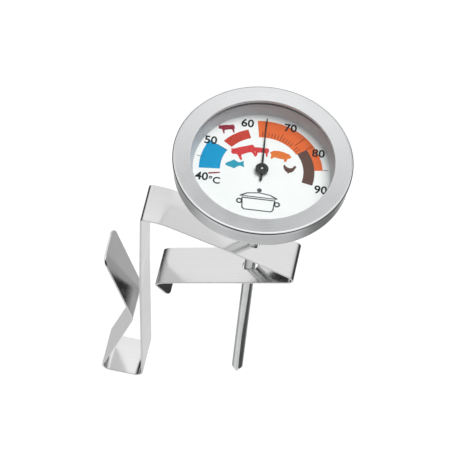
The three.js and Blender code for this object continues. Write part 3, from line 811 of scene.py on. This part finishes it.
# the three parts of the strip that move apart: the frame stays, the lever and the jaw flex
pieces = {}
for name, keep in (("clipFrame", 0), ("clipLever", 1), ("clipJaw", 2)):
    bm = bmesh.new()
    bm.from_mesh(strip.data)
    bmesh.ops.delete(bm, geom=[f for f in bm.faces if f.material_index != keep], context="FACES")
    bmesh.ops.holes_fill(bm, edges=[e for e in bm.edges if e.is_boundary], sides=0)
    for face in bm.faces:
        face.material_index = 0
    bmesh.ops.recalc_face_normals(bm, faces=bm.faces)
    pieces[name] = objectFromBmesh(bm, name)
    smoothFaces(pieces[name], 30)
bpy.data.objects.remove(strip)

finishPiece(pieces["clipFrame"], springSteel, "clip", ["clip_frame"])
finishPiece(pieces["clipLever"], springSteel, None, ["release_lever"])
finishPiece(pieces["clipJaw"], springSteel, None, ["clamp_jaw"])
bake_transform(pieces["clipLever"])
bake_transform(pieces["clipJaw"])
for piece in pieces.values():
    addWeightedNormals(piece)
print("clip folded")


# ---- studio ----

def hideFromCamera(obj):
    obj.visible_camera = False
    obj.visible_diffuse = False
    obj.visible_shadow = False
    obj.visible_transmission = False


studio = {"floorZ": -0.40, "world": 0.42, "tent": 3.0}

bm = bmesh.new()
bmesh.ops.create_grid(bm, x_segments=1, y_segments=1, size=6)
bmesh.ops.translate(bm, verts=bm.verts, vec=(0, 0, studio["floorZ"]))
floor = objectFromBmesh(bm, "studioFloor")
floorMat, tree, shader = newMaterial("acrylic sheet, lit from below")
place = addNode(tree, "ShaderNodeTexCoord")
fibre = addNode(tree, "ShaderNodeTexNoise", {"Vector": place.outputs["Object"]}, {"Scale": 300, "Detail": 3})
shade = addNode(tree, "ShaderNodeValToRGB", {"Fac": fibre.outputs["Fac"]})
setStops(shade, [(0.3, srgb("#f6f6f6")), (0.7, srgb("#f9f9f9"))])
tree.links.new(shade.outputs[0], shader.inputs["Base Color"])
tree.links.new(shade.outputs[0], shader.inputs["Emission Color"])
shader.inputs["Emission Strength"].default_value = 0.35
shader.inputs["Roughness"].default_value = 0.9
shader.inputs["Specular IOR Level"].default_value = 0.1
floor.data.materials.append(floorMat)
floor.visible_glossy = False

# A tent round the object that only the metal sees. It is white overhead, dim at the horizon and grey
# below, with a brighter floor behind and in front of the object and a dark one to its right.
tentHeights = [(-1.0, 0.80), (-0.86, 0.66), (-0.72, 0.52), (-0.58, 0.42), (-0.50, 0.18), (-0.42, 0.05),
               (0.12, 0.04), (0.27, 0.42), (0.39, 0.85), (0.50, 1.0), (0.60, 1.04), (0.72, 1.08), (0.83, 1.11),
               (0.92, 1.18), (1.0, 1.2)]
# (direction, full inside this angle, gone outside this angle, change of brightness)
tentPatches = [((-0.05, 0.56, -0.83), 4, 16, 0.38), ((0.05, -0.56, -0.83), 20, 45, 0.14),
               ((-0.33, 0.50, -0.80), 6, 18, 0.05), ((-0.56, 0.56, -0.60), 6, 16, 0.10),
               ((-0.56, 0.12, -0.82), 8, 22, -0.20), ((-0.45, -0.33, -0.83), 8, 22, 0.12),
               ((0.56, 0.56, -0.61), 8, 20, 0.10), ((0.55, 0.15, -0.82), 8, 24, -0.38),
               ((0.0, 1.0, 0.0), 22, 42, 0.80), ((0.0, 0.20, 0.98), 8, 28, 0.42),
               ((0.0, 0.85, 0.53), 10, 30, -0.75), ((0.0, -1.0, 0.25), 20, 45, -0.6)]
tentTop = 1.2  # brightness of the ramp's white

bm = bmesh.new()
bmesh.ops.create_icosphere(bm, subdivisions=4, radius=studio["tent"])
tent = objectFromBmesh(bm, "studioTent")
tentMat = bpy.data.materials.new("studio tent, cloth")
tentMat.use_nodes = True
tree = tentMat.node_tree
tree.nodes.clear()
place = addNode(tree, "ShaderNodeTexCoord")
toward = addNode(tree, "ShaderNodeVectorMath", {0: place.outputs["Object"]}, operation="NORMALIZE")
height = addNode(tree, "ShaderNodeSeparateXYZ", {0: toward.outputs[0]})
share = addNode(tree, "ShaderNodeMapRange", {"Value": height.outputs[2]}, {"From Min": -1.0, "From Max": 1.0})
shade = addNode(tree, "ShaderNodeValToRGB", {"Fac": share.outputs[0]})
setStops(shade, [((z + 1) / 2, value / tentTop) for z, value in tentHeights])
total = addNode(tree, "ShaderNodeMath", {0: shade.outputs[0]}, {1: tentTop}, operation="MULTIPLY").outputs[0]
for direction, inside, outside, change in tentPatches:
    facing = addNode(tree, "ShaderNodeVectorMath", {0: toward.outputs[0]},
                     {1: Vector(direction).normalized()}, operation="DOT_PRODUCT")
    fade = addNode(tree, "ShaderNodeMapRange", {"Value": facing.outputs["Value"]},
                   {"From Min": math.cos(math.radians(outside)), "From Max": math.cos(math.radians(inside)),
                    "To Max": change}, interpolation_type="SMOOTHSTEP")
    total = addNode(tree, "ShaderNodeMath", {0: total, 1: fade.outputs[0]}, operation="ADD").outputs[0]
bright = addNode(tree, "ShaderNodeMath", {0: total}, {1: 0.02}, operation="MAXIMUM")
glow = addNode(tree, "ShaderNodeEmission", {"Strength": bright.outputs[0]})
addNode(tree, "ShaderNodeOutputMaterial", {"Surface": glow.outputs[0]})
tent.data.materials.append(tentMat)
hideFromCamera(tent)

# a white disc close under the head, seen only from below and only by the metal: a painted reflection, whose glow makes
# the case's back show bright where the clip's strip mirrors it
bm = bmesh.new()
bmesh.ops.create_circle(bm, cap_ends=True, segments=96, radius=24.6 * mm)
bmesh.ops.translate(bm, verts=bm.verts, vec=(probeX, 0, bezelZ - 7.46 * mm))
disc = objectFromBmesh(bm, "paintedReflectionDisc")
paintedReflectionMat = bpy.data.materials.new("painted reflection, white glow")
paintedReflectionMat.use_nodes = True
tree = paintedReflectionMat.node_tree
tree.nodes.clear()
facing = addNode(tree, "ShaderNodeNewGeometry")
# this glow is the painted bright reflection of the case's back
glow = addNode(tree, "ShaderNodeEmission", None, {"Strength": 0.9})
clear = addNode(tree, "ShaderNodeBsdfTransparent")
both = addNode(tree, "ShaderNodeMixShader",
               {0: facing.outputs["Backfacing"], 1: clear.outputs[0], 2: glow.outputs[0]})
addNode(tree, "ShaderNodeOutputMaterial", {"Surface": both.outputs[0]})
disc.data.materials.append(paintedReflectionMat)
hideFromCamera(disc)

# a dark card low on the right, close to the probe, seen only by the metal: a painted dark reflection along the probe
# and the case's side
bm = bmesh.new()
bmesh.ops.create_grid(bm, x_segments=1, y_segments=1, size=0.5)
bmesh.ops.scale(bm, verts=bm.verts, vec=(0.049, 0.045, 1))
bmesh.ops.translate(bm, verts=bm.verts, vec=(0.0675, -0.0145, -0.06))
darkReflectionCard = objectFromBmesh(bm, "paintedDarkReflectionCard")
darkReflectionMat, tree, shader = newMaterial("painted dark reflection")
place = addNode(tree, "ShaderNodeTexCoord")
fibre = addNode(tree, "ShaderNodeTexNoise", {"Vector": place.outputs["Object"]}, {"Scale": 400, "Detail": 3})
shade = addNode(tree, "ShaderNodeValToRGB", {"Fac": fibre.outputs["Fac"]})
setStops(shade, [(0.3, srgb("#2c2c2c")), (0.7, srgb("#363636"))])
tree.links.new(shade.outputs[0], shader.inputs["Base Color"])
tree.links.new(shade.outputs[0], shader.inputs["Emission Color"])
# its faint glow sets how dark the painted reflection is
shader.inputs["Emission Strength"].default_value = 1.5
shader.inputs["Roughness"].default_value = 0.9
darkReflectionCard.data.materials.append(darkReflectionMat)
hideFromCamera(darkReflectionCard)

world = bpy.data.worlds.new("studio")
bpy.context.scene.world = world
world.use_nodes = True
backdrop = world.node_tree.nodes["Background"]
backdrop.inputs["Color"].default_value = srgb("#f6fafd")
backdrop.inputs["Strength"].default_value = studio["world"]


def softbox(name, place, target, size, power):
    light = bpy.data.lights.new(name, "AREA")
    light.shape = "RECTANGLE"
    light.size, light.size_y = size
    light.energy = power
    obj = bpy.data.objects.new(name, light)
    bpy.context.scene.collection.objects.link(obj)
    obj.location = place
    obj.rotation_euler = (Vector(target) - Vector(place)).to_track_quat("-Z", "Y").to_euler()
    obj.visible_camera = False
    obj.visible_glossy = False
    return obj


softbox("backRightSoftbox", (0.28, 0.43, 0.93), (0.03, 0, 0.08), (0.6, 0.6), 8.4)
print("studio lit")


# ---- camera ----

cameraSize = {"lookAt": (0.0234, 0.0014, 0.0468), "distance": 0.936, "azimuth": 5.82, "elevation": 55.64,
              "roll": 6.5, "lens": 248.16, "sensor": 36}
azimuth, elevation = math.radians(cameraSize["azimuth"]), math.radians(cameraSize["elevation"])
forward = Vector((-math.sin(azimuth) * math.cos(elevation), math.cos(azimuth) * math.cos(elevation),
                  -math.sin(elevation)))
cam = bpy.data.cameras.new("camera")
cam.lens = cameraSize["lens"]
cam.sensor_width = cameraSize["sensor"]
cam.clip_start, cam.clip_end = 0.05, 20
camera = bpy.data.objects.new("camera", cam)
bpy.context.scene.collection.objects.link(camera)
upright = forward.to_track_quat("-Z", "Y").to_matrix()
camera.rotation_euler = (upright @ Matrix.Rotation(math.radians(cameraSize["roll"]), 3, "Z")).to_euler()
camera.location = Vector(cameraSize["lookAt"]) - forward * cameraSize["distance"]
bpy.context.scene.camera = camera
bpy.context.scene.view_settings.view_transform = "Standard"

print("done")
